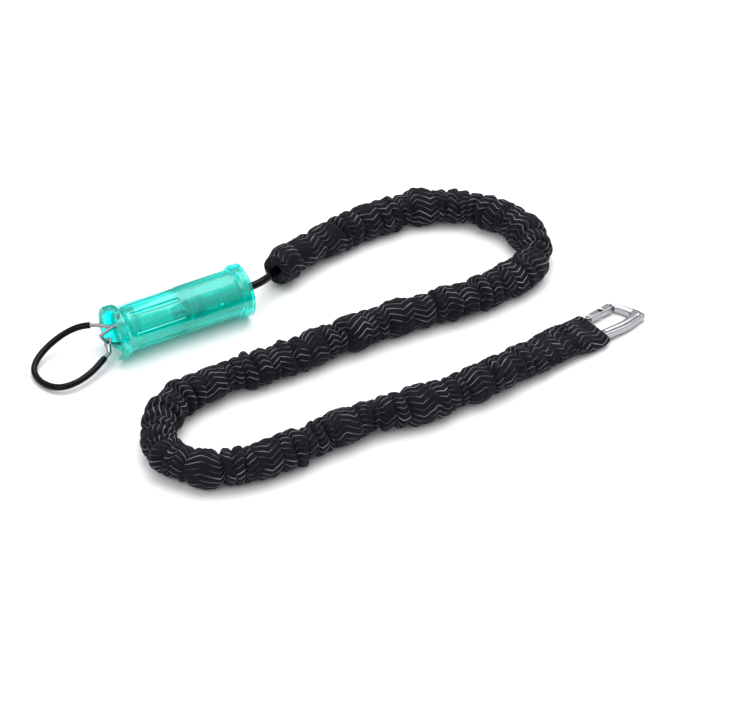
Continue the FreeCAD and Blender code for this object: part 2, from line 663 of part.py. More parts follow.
# Snap hook: forged spine, nose and far arm round a D, with a gate that opens inwards.
def snap_hook():
    frame = bar_frame()
    thickness = value("snap_thickness")
    inner = value("spine_inner")
    outer = value("spine_outer")
    mid_spine = (inner + outer) / 2
    bill_x = value("bill_x")
    bill_top = (bill_x, value("bill_outer"))
    bill_low = (bill_x, value("bill_inner"))
    root_in = (0.6, inner)
    root_out = (0.2, outer)
    spine_end = (44.5, outer - 2.2)
    tip = (47.4, outer + 2.4)
    crotch_in = (34.2, inner - 0.3)
    crotch_out = (38.7, inner + 3.4)
    arm = prism([
        line(root_out, spine_end),
        bend(spine_end, (47.5, outer - 1.2), tip),
        bend(tip, (43.6, 4.5), bill_top),
        line(bill_top, bill_low),
        bend(bill_low, (37.9, 2.5), crotch_out),
        bend(crotch_out, (37.8, inner + 0.9), crotch_in),
        line(crotch_in, root_in),
        bend(root_in, (-value("bar_radius"), mid_spine), root_out),
    ], thickness, value("edge_round"))

    leg_in = value("leg_inner")
    leg_out = value("leg_outer")
    pin_side = (leg_in + leg_out) / 2
    root = (leg_out - leg_in) / 2
    pin_x = value("gate_pin_x")
    leg_end = value("leg_end")
    leg = prism([
        line((0, leg_in), (leg_end, leg_in)), line((leg_end, leg_in), (leg_end, leg_out)),
        line((leg_end, leg_out), (0, leg_out)), bend((0, leg_out), (-root, pin_side), (0, leg_in)),
    ], thickness, 0)
    tongue = prism([
        line((0, leg_in), (pin_x, leg_in)), bend((pin_x, leg_in), (pin_x + root, pin_side), (pin_x, leg_out)),
        line((pin_x, leg_out), (0, leg_out)), line((0, leg_out), (0, leg_in)),
    ], value("tongue_thickness"), 0)
    across = FreeCAD.Vector(0, 1, 0)
    bar = Part.makeCylinder(value("bar_radius"), pin_side - mid_spine, FreeCAD.Vector(0, mid_spine, 0), across)
    up = FreeCAD.Vector(0, 0, 1)
    pin_foot = FreeCAD.Vector(pin_x, pin_side, -thickness / 2)
    pin = Part.makeCylinder(value("gate_pin_radius"), thickness, pin_foot, up)
    body = arm.fuse([leg, tongue, bar]).removeSplitter()
    set_in(frame, "snap_hook_body", body.cut(pin))
    set_in(frame, "gate_pin", pin)

    bill_rise = value("bill_outer") - pin_side
    gate_reach = bill_x - pin_x - value("running_gap")
    gate_end = pin_x + math.sqrt(gate_reach ** 2 - bill_rise ** 2)
    gate = prism([
        line((pin_x, leg_in), (gate_end, value("bill_inner"))),
        line((gate_end, value("bill_inner")), (gate_end, value("bill_outer"))),
        line((gate_end, value("bill_outer")), (pin_x, leg_out)),
        bend((pin_x, leg_out), (pin_x - root, pin_side), (pin_x, leg_in)),
    ], thickness, 0)
    gap = value("running_gap")
    slot_height = value("tongue_thickness") + 2 * gap
    slot = Part.makeCylinder(root + gap, slot_height, FreeCAD.Vector(pin_x, pin_side, -slot_height / 2), up)
    pocket_length = value("spring_pocket")
    pocket_width = value("spring_pocket_width")
    pocket = Part.makeBox(root + gap + pocket_length, pocket_width, slot_height,
                          FreeCAD.Vector(pin_x, pin_side - pocket_width / 2, -slot_height / 2))
    pin_hole = Part.makeCylinder(value("gate_pin_radius + pivot_gap"), thickness, pin_foot, up)
    eye = Part.makeCylinder(value("gate_eye_radius"), thickness,
                            FreeCAD.Vector(value("gate_eye_x"), value("gate_eye_side"), -thickness / 2), up)
    set_in(frame, "snap_hook_gate", gate.cut([slot, pocket, pin_hole, eye]))
    leaf_thickness = value("leaf_thickness")
    leaf = Part.makeBox(pocket_length - gap, leaf_thickness, value("tongue_thickness"),
                        FreeCAD.Vector(pin_x + root, pin_side - leaf_thickness / 2,
                                       -value("tongue_thickness") / 2))
    set_in(frame, "gate_spring", leaf)


def check(thing):
    """Stop before anything is written if an object failed or its shape is bad."""
    bad = {"Invalid", "Error"} & set(thing.State)
    if bad:
        raise RuntimeError("%s is %s" % (thing.Label, bad))


def write_parts():
    doc.recompute()
    for thing in doc.Objects:
        check(thing)
    for thing in parts:
        if thing.Shape.isNull() or not thing.Shape.isValid():
            raise RuntimeError("%s has no valid shape" % thing.Label)
    os.makedirs("parts", exist_ok=True)
    for thing in parts:
        thing.Shape.exportStep(os.path.join("parts", thing.Label + ".step"))
        print("%s: %d solid(s), %.0f mm3" % (thing.Label, len(thing.Shape.Solids), thing.Shape.Volume))


release_sleeve()
rear_cap()
return_spring()
core()
release_hook()
cable_loop()
shank(elastic())
webbing_tab()
snap_hook()
write_parts()
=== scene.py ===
"""Elastic safety leash: quick release with a cable loop, gathered webbing and a snap hook.

Every length is in metres in the model's own frame, with the leash lying on z = 0.
"""

import logging
import math
from dataclasses import dataclass, field
from enum import Enum

import bpy
import numpy as np
from mathutils import Matrix, Vector


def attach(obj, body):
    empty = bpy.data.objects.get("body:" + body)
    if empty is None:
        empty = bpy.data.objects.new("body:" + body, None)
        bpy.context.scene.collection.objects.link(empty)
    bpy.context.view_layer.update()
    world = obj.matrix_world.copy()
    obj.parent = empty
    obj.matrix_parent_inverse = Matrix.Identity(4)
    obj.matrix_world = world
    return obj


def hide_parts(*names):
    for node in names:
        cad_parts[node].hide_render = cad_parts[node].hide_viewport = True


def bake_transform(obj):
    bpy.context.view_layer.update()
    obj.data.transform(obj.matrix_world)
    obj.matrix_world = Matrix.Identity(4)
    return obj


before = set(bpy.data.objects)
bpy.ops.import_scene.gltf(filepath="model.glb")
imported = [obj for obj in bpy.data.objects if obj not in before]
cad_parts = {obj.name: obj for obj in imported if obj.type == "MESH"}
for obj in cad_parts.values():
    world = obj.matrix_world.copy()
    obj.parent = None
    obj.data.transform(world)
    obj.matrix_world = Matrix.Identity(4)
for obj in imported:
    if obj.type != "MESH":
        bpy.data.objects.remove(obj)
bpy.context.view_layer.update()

MM = 0.001
LOG = logging.getLogger("leash")

Colour = tuple[float, float, float, float]
Point = tuple[float, float, float]

# Centre line of the webbing, in millimetres, from the release to the flat tab.
WEBBING_ROUTE: list[Point] = [
    (-34.0, 98.0, 17.0), (-6.0, 112.0, 14.9), (40.0, 120.0, 14.6), (86.0, 125.0, 14.6),
    (128.0, 115.0, 14.6), (158.0, 89.0, 14.6), (172.0, 51.0, 14.6), (162.0, 15.0, 14.6),
    (128.0, -6.0, 14.6), (80.0, -7.0, 14.6), (24.0, -3.0, 14.6), (-36.0, -2.5, 14.6),
    (-90.0, -5.5, 14.6), (-138.0, -1.0, 14.6), (-176.0, -7.0, 14.6), (-204.0, -25.0, 14.6),
    (-216.0, -55.0, 14.6), (-202.0, -89.0, 14.6), (-166.0, -102.0, 14.6), (-120.0, -102.5, 14.6),
    (-70.0, -97.0, 14.6), (-14.0, -105.5, 14.6), (44.0, -103.5, 14.6), (88.8, -92.4, 14.6),
    (118.4, -88.2, 14.6),
]
# Centre line of the steel cable, from the ferrule on the eye round to the fixed end.
LOOP_ROUTE: list[Point] = [
    (-195.0, 74.6, 10.5), (-203.5, 69.5, 9.4), (-215.0, 62.5, 8.2), (-229.0, 58.0, 6.8),
    (-242.5, 59.5, 5.2), (-250.5, 69.0, 3.9), (-253.5, 82.0, 3.2), (-251.0, 94.5, 4.2),
    (-242.0, 102.5, 7.4), (-229.0, 107.5, 11.6), (-214.5, 109.5, 15.8), (-202.5, 106.5, 19.2),
    (-192.5, 98.0, 21.6), (-187.0, 91.3, 21.8), (-181.0, 89.6, 21.5),
]


class Body(Enum):
    """Moving bodies of the model that pieces ride on."""

    LEASH = "leash"
    CORE = "core"
    SLEEVE = "sleeve"
    RELEASE_HOOK = "release_hook"
    SNAP_HOOK = "snap_hook"
    GATE = "gate"


def linear(hex_code: str) -> Colour:
    """Turn an sRGB hex value into a linear colour.

    Args:
        hex_code: Six hex digits, such as "1a2b3c".

    Returns:
        Red, green, blue and alpha, with alpha 1.
    """
    channels = [int(hex_code[at:at + 2], 16) / 255 for at in (0, 2, 4)]
    r, g, b = [c / 12.92 if c <= 0.04045 else ((c + 0.055) / 1.055) ** 2.4 for c in channels]
    return (r, g, b, 1.0)


def add_node(material: bpy.types.Material, kind: str, inputs: dict | None = None,
             **settings: object) -> bpy.types.Node:
    """Add a shader node with its settings, and set or link its inputs.

    Args:
        material: Material whose tree gets the node.
        kind: Node type, such as "ShaderNodeMath".
        inputs: Input name or number to a value, or to an output socket to link.
        **settings: Attributes of the node.

    Returns:
        The new node.
    """
    node = material.node_tree.nodes.new(kind)
    for name, setting in settings.items():
        setattr(node, name, setting)
    for key, given in (inputs or {}).items():
        socket = node.inputs[key]
        if isinstance(given, bpy.types.NodeSocket):
            material.node_tree.links.new(given, socket)
        else:
            socket.default_value = given
    return node


@dataclass(frozen=True)
class Finish:
    """A named surface that every kind of finish builds on."""

    name: str

    def start(self) -> tuple[bpy.types.Material, bpy.types.Node]:
        """Make an empty material with its main shader.

        Returns:
            The material and its principled shader.
        """
        material = bpy.data.materials.new(self.name)
        material.use_nodes = True
        return material, material.node_tree.nodes["Principled BSDF"]

    def set(self, shader: bpy.types.Node, **values: object) -> None:
        """Set plain sockets of the shader by name, with underscores for spaces."""
        for name, given in values.items():
            shader.inputs[name.replace("_", " ")].default_value = given

    def relief(self, material: bpy.types.Material, shader: bpy.types.Node,
               height: bpy.types.NodeSocket, distance: float, strength: float = 1.0) -> None:
        """Drive the shader's normal from a height.

        Args:
            material: Material that holds the shader.
            shader: Principled shader.
            height: Output socket of the height.
            distance: Depth of the relief in metres.
            strength: How much of the relief is used.
        """
        bump = add_node(material, "ShaderNodeBump", {"Height": height, "Distance": distance,
                                                     "Strength": strength})
        material.node_tree.links.new(bump.outputs["Normal"], shader.inputs["Normal"])


@dataclass(frozen=True)
class TintedPolycarbonate(Finish):
    """Moulded clear polycarbonate with a dye in it, which gives a wet gloss, and with a painted glow:
    an emission that brightens its body though it is no lamp.
    """

    tint: str
    transmission: float
    roughness: float
    painted_glow: float                     # strength of the painted glow, an emission that brightens the plastic

    def build(self) -> bpy.types.Material:
        """Build the moulded see-through plastic."""
        material, shader = self.start()
        where = add_node(material, "ShaderNodeTexCoord").outputs["Object"]
        # faint flow marks, 6 mm long, that the moulding leaves in the wall
        flow = add_node(material, "ShaderNodeTexNoise", {"Vector": where, "Scale": 160.0,
                                                         "Detail": 2.0})
        colours = add_node(material, "ShaderNodeMix", {
            "Factor": flow.outputs["Fac"], "A": linear(self.tint),
            "B": tuple(0.88 * c for c in linear(self.tint)[:3]) + (1.0,)}, data_type="RGBA")
        material.node_tree.links.new(colours.outputs[2], shader.inputs["Base Color"])
        # painted glow: the emission colour 00e8c8, at the painted glow's strength, lights the plastic
        # as if from within
        self.set(shader, Roughness=self.roughness, IOR=1.58,
                 Transmission_Weight=self.transmission, Specular_IOR_Level=0.6,
                 Emission_Color=linear("00e8c8"), Emission_Strength=self.painted_glow)
        self.relief(material, shader, flow.outputs["Fac"], 0.05 * MM, 0.5)
        return material


@dataclass(frozen=True)
class MouldedPlastic(Finish):
    """Opaque moulded plastic or vinyl, from satin to gloss, with a fine moulded grain."""

    shade: str
    roughness: float
    grain_mm: float = 1.2
    shine: float = 0.5

    def build(self) -> bpy.types.Material:
        """Build the opaque plastic."""
        material, shader = self.start()
        where = add_node(material, "ShaderNodeTexCoord").outputs["Object"]
        grain = add_node(material, "ShaderNodeTexNoise", {
            "Vector": where, "Scale": 1.0 / (self.grain_mm * MM), "Detail": 3.0})
        rough = add_node(material, "ShaderNodeMapRange", {
            "Value": grain.outputs["Fac"], "To Min": self.roughness * 0.8,
            "To Max": self.roughness * 1.25})
        material.node_tree.links.new(rough.outputs["Result"], shader.inputs["Roughness"])
        self.set(shader, Base_Color=linear(self.shade), IOR=1.5, Specular_IOR_Level=self.shine)
        self.relief(material, shader, grain.outputs["Fac"], 0.03 * MM, 0.6)
        return material


@dataclass(frozen=True)
class PolishedSteel(Finish):
    """Stainless steel, tumbled and buffed, with soft waves and hairlines in its mirror."""

    shade: str
    roughness: float
    wave_mm: float = 5.0

    def build(self) -> bpy.types.Material:
        """Build the buffed steel."""
        material, shader = self.start()
        where = add_node(material, "ShaderNodeTexCoord").outputs["Object"]
        waves = add_node(material, "ShaderNodeTexNoise", {
            "Vector": where, "Scale": 1.0 / (self.wave_mm * MM), "Detail": 2.0})
        stretch = add_node(material, "ShaderNodeMapping", {"Vector": where,
                                                           "Scale": (250.0, 1600.0, 1600.0)})
        hairlines = add_node(material, "ShaderNodeTexNoise", {
            "Vector": stretch.outputs["Vector"], "Scale": 1.0, "Detail": 2.0})
        rough = add_node(material, "ShaderNodeMapRange", {
            "Value": hairlines.outputs["Fac"], "From Min": 0.3, "From Max": 0.7,
            "To Min": self.roughness * 0.6, "To Max": self.roughness * 1.5})
        material.node_tree.links.new(rough.outputs["Result"], shader.inputs["Roughness"])
        self.set(shader, Base_Color=linear(self.shade), Metallic=1.0)
        self.relief(material, shader, waves.outputs["Fac"], 0.12 * MM, 0.5)
        return material


@dataclass(frozen=True)
class ChevronWebbing(Finish):
    """Woven polyester webbing: near black, with thin grey zigzag yarns along its length.

    The pattern lies on the piece's own map, in metres along the cloth and across it.
    """

    ground: str = "0b0b11"
    yarn: str = "9fa0aa"
    line_spacing: float = 4.44 * MM
    line_width: float = 0.62 * MM
    wavelength: float = 21.0 * MM
    swing: float = 5.2 * MM
    thread: float = 0.9 * MM       # real threads are 0.4 mm, drawn twice as coarse to show

    def build(self) -> bpy.types.Material:
        """Build the patterned cloth."""
        material, shader = self.start()
        links = material.node_tree.links

        def calc(operation: str, *values: object) -> bpy.types.NodeSocket:
            """One sum on sockets and numbers."""
            return add_node(material, "ShaderNodeMath", dict(enumerate(values)),
                            operation=operation).outputs[0]

        cloth = add_node(material, "ShaderNodeUVMap", uv_map="cloth").outputs["UV"]
        split = add_node(material, "ShaderNodeSeparateXYZ", {"Vector": cloth})
        along, across = split.outputs["X"], split.outputs["Y"]
        zigzag = calc("PINGPONG", along, self.wavelength / 2)
        shifted = calc("MULTIPLY_ADD", zigzag, 2 * self.swing / self.wavelength, across)
        rows = calc("DIVIDE", shifted, self.line_spacing)
        from_line = calc("ABSOLUTE", calc("SUBTRACT", calc("FRACT", rows), 0.5))
        half = self.line_width / self.line_spacing / 2
        bright = add_node(material, "ShaderNodeMapRange", {
            "Value": from_line, "From Min": half * 1.5, "From Max": half * 0.6}).outputs["Result"]
        between = calc("ABSOLUTE", calc("SUBTRACT", calc("FRACT", calc("MULTIPLY", rows, 3.0)), 0.5))
        faint = add_node(material, "ShaderNodeMapRange", {
            "Value": between, "From Min": 0.2, "From Max": 0.08, "To Max": 0.018}).outputs["Result"]
        # each yarn has a tone of its own and fades where it dips under the ground threads
        row_tone = add_node(material, "ShaderNodeTexWhiteNoise", {"W": calc("FLOOR", rows)},
                            noise_dimensions="1D").outputs["Value"]
        patches = add_node(material, "ShaderNodeTexNoise", {"Vector": cloth, "Scale": 75.0,
                                                            "Detail": 1.0})
        fade = add_node(material, "ShaderNodeMapRange", {
            "Value": patches.outputs["Fac"], "From Min": 0.4, "From Max": 0.7,
            "To Min": 0.07}).outputs["Result"]
        tone = calc("MULTIPLY", fade, calc("MULTIPLY_ADD", row_tone, 0.8, 0.15))
        mask = calc("MAXIMUM", calc("MULTIPLY", bright, tone), faint)
        colour = add_node(material, "ShaderNodeMix", {
            "Factor": mask, "A": linear(self.ground), "B": linear(self.yarn)}, data_type="RGBA")
        links.new(colour.outputs[2], shader.inputs["Base Color"])

        weave = add_node(material, "ShaderNodeTexWave", {
            "Vector": cloth, "Scale": 1.0 / (self.thread * 3.2), "Distortion": 1.5, "Detail": 1.0},
            wave_type="BANDS", bands_direction="DIAGONAL")
        height = calc("MULTIPLY_ADD", bright, 0.7, weave.outputs["Fac"])
        self.relief(material, shader, height, 0.16 * MM, 0.8)
        self.set(shader, Roughness=0.78, Sheen_Weight=0.06, Sheen_Roughness=0.4,
                 Sheen_Tint=linear("9a9db8"), Specular_IOR_Level=0.12)
        return material


@dataclass(frozen=True)
class StrandedSteel(Finish):
    """Twisted galvanised wire rope, bright on its strands, with painted shade darkening the lay between
    them.
    """

    shade: str = "c9cacc"
    wire_mm: float = 0.35

    def build(self) -> bpy.types.Material:
        """Build the wire rope's surface, whose wires lie on the piece's own map."""
        material, shader = self.start()
        rope = add_node(material, "ShaderNodeUVMap", uv_map="cloth").outputs["UV"]
        wires = add_node(material, "ShaderNodeTexWave", {
            "Vector": rope, "Scale": 1.0 / (self.wire_mm * MM * 3.2), "Distortion": 0.6},
            bands_direction="DIAGONAL")
        # painted shade: the darker grey 6f7074 between the wires stands for the shade in the lay
        shade = add_node(material, "ShaderNodeMix", {
            "Factor": wires.outputs["Fac"], "A": linear("6f7074"), "B": linear(self.shade)},
            data_type="RGBA")
        material.node_tree.links.new(shade.outputs[2], shader.inputs["Base Color"])
        self.set(shader, Metallic=1.0, Roughness=0.28)
        self.relief(material, shader, wires.outputs["Fac"], 0.08 * MM)
        return material


class Finishes:
    """Every finish of the leash, each built once."""

    def __init__(self) -> None:
        """Build all the materials."""
        # the last number of each polycarbonate is the strength of its painted glow, an emission that
        # brightens it
        self.sleeve = TintedPolycarbonate("teal_polycarbonate", "00f6f0", 0.92, 0.06, 0.055).build()
        self.core = TintedPolycarbonate("core_polycarbonate", "10f2ea", 0.86, 0.14, 0.025).build()
        self.acetal = MouldedPlastic("black_acetal", "17181a", 0.4).build()
        self.vinyl = MouldedPlastic("gloss_black_vinyl", "030304", 0.08, 6.0, 0.14).build()
        self.steel = PolishedSteel("buffed_stainless", "a8a9ac", 0.17).build()
        self.wire = PolishedSteel("drawn_spring_wire", "b9babd", 0.25, 2.0).build()
        self.cable = StrandedSteel("galvanised_wire_rope").build()
        self.webbing = ChevronWebbing("chevron_webbing").build()
        self.braid = MouldedPlastic("braided_cover", "1b1b20", 0.7, 0.8).build()
        self.thread = MouldedPlastic("bonded_thread", "1d1c24", 0.5, 0.5).build()


def dress(node: str, material: bpy.types.Material) -> None:
    """Give a model node its finish.

    Args:
        node: Name of the node.
        material: Finish for all its slots.
    """
    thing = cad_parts[node]
    if not thing.material_slots:
        thing.data.materials.append(material)
    for slot in thing.material_slots:
        slot.material = material


def linked(name: str, data: bpy.types.ID) -> bpy.types.Object:
    """Make an object of some data and put it in the scene."""
    thing = bpy.data.objects.new(name, data)
    bpy.context.scene.collection.objects.link(thing)
    return thing


def select_only(piece: bpy.types.Object) -> None:
    """Select a piece alone and make it active."""
    deselect()
    piece.select_set(True)
    bpy.context.view_layer.objects.active = piece


def stand_for(piece: bpy.types.Object, slot: str, *nodes: str,
              material: bpy.types.Material, body: Body) -> bpy.types.Object:
    """Give a piece its finish, hang it on its body's empty and hide the model nodes that it stands for.

    Args:
        piece: Piece with no finish yet.
        slot: Not used.
        *nodes: Model nodes that it stands for.
        material: Its finish.
        body: Body that it rides on.

    Returns:
        The same piece.
    """
    piece.data.materials.append(material)
    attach(piece, body.value)
    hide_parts(*nodes)
    return piece


def flexing(node: str, name: str,
            material: bpy.types.Material) -> bpy.types.Object:
    """Copy a spring's node, in place, as a piece with its own finish, and hide the node.

    Args:
        node: Model node that the piece stands for.
        name: Name of the piece.
        material: Its finish.

    Returns:
        The piece.
    """
    piece = linked(name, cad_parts[node].data.copy())
    piece.data.materials.clear()
    piece.data.materials.append(material)
    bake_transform(piece)
    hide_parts(node)
    return piece


def deselect() -> None:
    """Leave nothing selected and no piece active."""
    for thing in bpy.context.selected_objects:
        thing.select_set(False)


def joined(name: str, pieces: list[bpy.types.Object]) -> bpy.types.Object:
    """Join pieces into one, which takes the name."""
    deselect()
    for piece in pieces:
        piece.select_set(True)
    bpy.context.view_layer.objects.active = pieces[0]
    bpy.ops.object.join()
    whole = bpy.context.active_object
    whole.name = name
    deselect()
    return whole


def shaped(piece: bpy.types.Object, kind: str, **settings: object) -> None:
    """Add a modifier with its settings and apply it.

    Args:
        piece: Piece that it shapes.
        kind: Modifier type, such as "BEVEL".
        **settings: Attributes of the modifier.
    """
    select_only(piece)
    modifier = piece.modifiers.new(kind.lower(), kind)
    for name, setting in settings.items():
        setattr(modifier, name, setting)
    bpy.ops.object.modifier_apply(modifier=modifier.name)


def lathe(name: str, profile: list[tuple[float, float]], centre: Vector,
          segments: int = 128) -> bpy.types.Object:
    """Turn a closed ring-shaped solid about a line along X, ring by ring.

    Args:
        name: Name of the piece.
        profile: Distance along and radius of each ring, in millimetres, in order.
        centre: Point of the line that distances start from.
        segments: Sides of a ring.

    Returns:
        The piece, with its place in its mesh.
    """
    deselect()
    first = profile[0]
    bpy.ops.mesh.primitive_circle_add(
        vertices=segments, radius=first[1] * MM, fill_type="NOTHING",
        location=centre + Vector((first[0] * MM, 0, 0)), rotation=(0, math.pi / 2, 0))
    piece = bpy.context.active_object
    piece.name = name
    bpy.ops.object.mode_set(mode="EDIT")
    bpy.ops.mesh.select_all(action="SELECT")
    for (along, radius), (next_along, next_radius) in zip(profile, profile[1:]):
        bpy.ops.mesh.extrude_region_move(
            TRANSFORM_OT_translate={"value": ((next_along - along) * MM, 0, 0)})
        share = next_radius / radius
        bpy.ops.transform.resize(value=(1, share, share), center_override=centre)
    bpy.ops.mesh.select_all(action="DESELECT")
    bpy.ops.object.mode_set(mode="OBJECT")
    total = len(piece.data.vertices)
    ends = set(range(segments)) | set(range(total - segments, total))
    for edge in piece.data.edges:
        a, b = edge.vertices
        edge.select = a in ends and b in ends and (a < segments) == (b < segments)
    bpy.ops.object.mode_set(mode="EDIT")
    bpy.ops.mesh.bridge_edge_loops()
    bpy.ops.mesh.select_all(action="SELECT")
    bpy.ops.mesh.normals_make_consistent(inside=False)
    bpy.ops.object.mode_set(mode="OBJECT")
    bpy.ops.object.transform_apply(location=True, rotation=True, scale=True)
    deselect()
    return piece


def carve(piece: bpy.types.Object, cutter: bpy.types.Object) -> None:
    """Cut a piece with another, which is used up."""
    shaped(piece, "BOOLEAN", operation="DIFFERENCE", object=cutter, solver="EXACT")
    bpy.data.objects.remove(cutter)


def smooth(piece: bpy.types.Object, degrees: float = 32.0) -> None:
    """Shade a piece smooth, but for edges sharper than an angle."""
    select_only(piece)
    bpy.ops.object.shade_smooth_by_angle(angle=math.radians(degrees))
    deselect()


def route_line(name: str, route: list[Point]) -> np.ndarray:
    """Read the smooth centre line that a route's points control.

    Args:
        name: Name for the passing curve.
        route: Control points in millimetres.

    Returns:
        Points along the line, in metres, one row each.
    """
    curve = bpy.data.curves.new(name, "CURVE")
    curve.dimensions = "3D"
    spline = curve.splines.new("NURBS")
    spline.points.add(len(route) - 1)
    for point, place in zip(spline.points, route):
        point.co = (place[0] * MM, place[1] * MM, place[2] * MM, 1.0)
    spline.order_u = 3
    spline.use_endpoint_u = True
    spline.resolution_u = 24
    holder = linked(name, curve)
    bpy.context.view_layer.update()
    mesh = bpy.data.meshes.new_from_object(holder)
    line = np.array([vertex.co[:] for vertex in mesh.vertices])
    bpy.data.meshes.remove(mesh)
    bpy.data.objects.remove(holder)
    bpy.data.curves.remove(curve)
    return line


@dataclass
class Track:
    """A centre line read at even steps, with a sideways and an upward direction at each."""

    line: np.ndarray
    step: float
    places: np.ndarray = field(init=False)
    run: np.ndarray = field(init=False)
    ahead: np.ndarray = field(init=False)
    side: np.ndarray = field(init=False)
    up: np.ndarray = field(init=False)

    def __post_init__(self) -> None:
        """Read the line at even steps and turn a frame along it."""
        lengths = np.concatenate([[0.0], np.cumsum(np.linalg.norm(np.diff(self.line, axis=0), axis=1))])
        count = max(int(round(lengths[-1] / self.step)), 2)
        self.run = np.linspace(0.0, lengths[-1], count + 1)
        self.places = np.stack([np.interp(self.run, lengths, axis) for axis in self.line.T], axis=1)
        ahead = np.gradient(self.places, axis=0)
        self.ahead = ahead / np.linalg.norm(ahead, axis=1, keepdims=True)
        side = np.cross(self.ahead, np.array([0.0, 0.0, 1.0]))
        self.side = side / np.linalg.norm(side, axis=1, keepdims=True)
        self.up = np.cross(self.side, self.ahead)

    def rings(self, centre: np.ndarray, across: np.ndarray, upward: np.ndarray) -> np.ndarray:
        """Points about a centre at each place, from how far across and upward they lie."""
        return (centre[:, None, :] + self.side[:, None, :] * across[:, :, None]
                + self.up[:, None, :] * upward[:, :, None])

    @property
    def length(self) -> float:
        """Length of the line."""
        return float(self.run[-1])


def skin(name: str, rings: np.ndarray, along: np.ndarray, girth: float) -> bpy.types.Object:
    """Make a closed tube through rings of points, with a map in metres on it.

    Args:
        name: Name of the piece.
        rings: Points, one row of rings, each with the same number of points.
        along: How far along the cloth each ring, or each of its points, lies.
        girth: How far round the cloth a whole ring goes.

    Returns:
        The new piece, smooth shaded.
    """
    rows, columns = rings.shape[:2]
    points = rings.reshape(-1, 3).tolist()
    faces = []
    for row in range(rows - 1):
        here, there = row * columns, (row + 1) * columns
        for column in range(columns):
            after = (column + 1) % columns
            faces.append((here + column, there + column, there + after, here + after))
    faces.append(tuple(range(columns)))
    faces.append(tuple(range(rows * columns - 1, (rows - 1) * columns - 1, -1)))
    mesh = bpy.data.meshes.new(name)
    mesh.from_pydata(points, [], faces)
    cloth = mesh.uv_layers.new(name="cloth")
    places = []
    if along.ndim == 1:
        along = np.repeat(along[:, None], columns, axis=1)
    for row in range(rows - 1):
        here, there = along[row], along[row + 1]
        for column in range(columns):
            after = (column + 1) % columns
            left, right = girth * column / columns, girth * (column + 1) / columns
            places += [here[column], left, there[column], left, there[after], right, here[after], right]
    places += [along[0, 0], 0.0] * columns + [along[-1, 0], 0.0] * columns
    cloth.data.foreach_set("uv", places)
    mesh.shade_smooth()
    mesh.validate()
    return linked(name, mesh)


def tube(name: str, track: Track, radii: np.ndarray, angles: np.ndarray,
         girth: float) -> bpy.types.Object:
    """Round tube on a track.

    Args:
        name: Name of the piece.
        track: Centre line.
        radii: Radius for each place and angle.
        angles: Angles of a ring's points.
        girth: Distance round the tube on its map.

    Returns:
        The new piece.
    """
    rings = track.rings(track.places, radii * np.cos(angles), radii * np.sin(angles))
    return skin(name, rings, track.run, girth)


def ring_angles(count: int) -> np.ndarray:
    """Angles of a ring's points, from straight down round by the side."""
    return -math.pi / 2 - 2 * math.pi * np.arange(count) / count


def ease(values: np.ndarray) -> np.ndarray:
    """Smooth step from 0 to 1."""
    values = np.clip(values, 0.0, 1.0)
    return values * values * (3 - 2 * values)


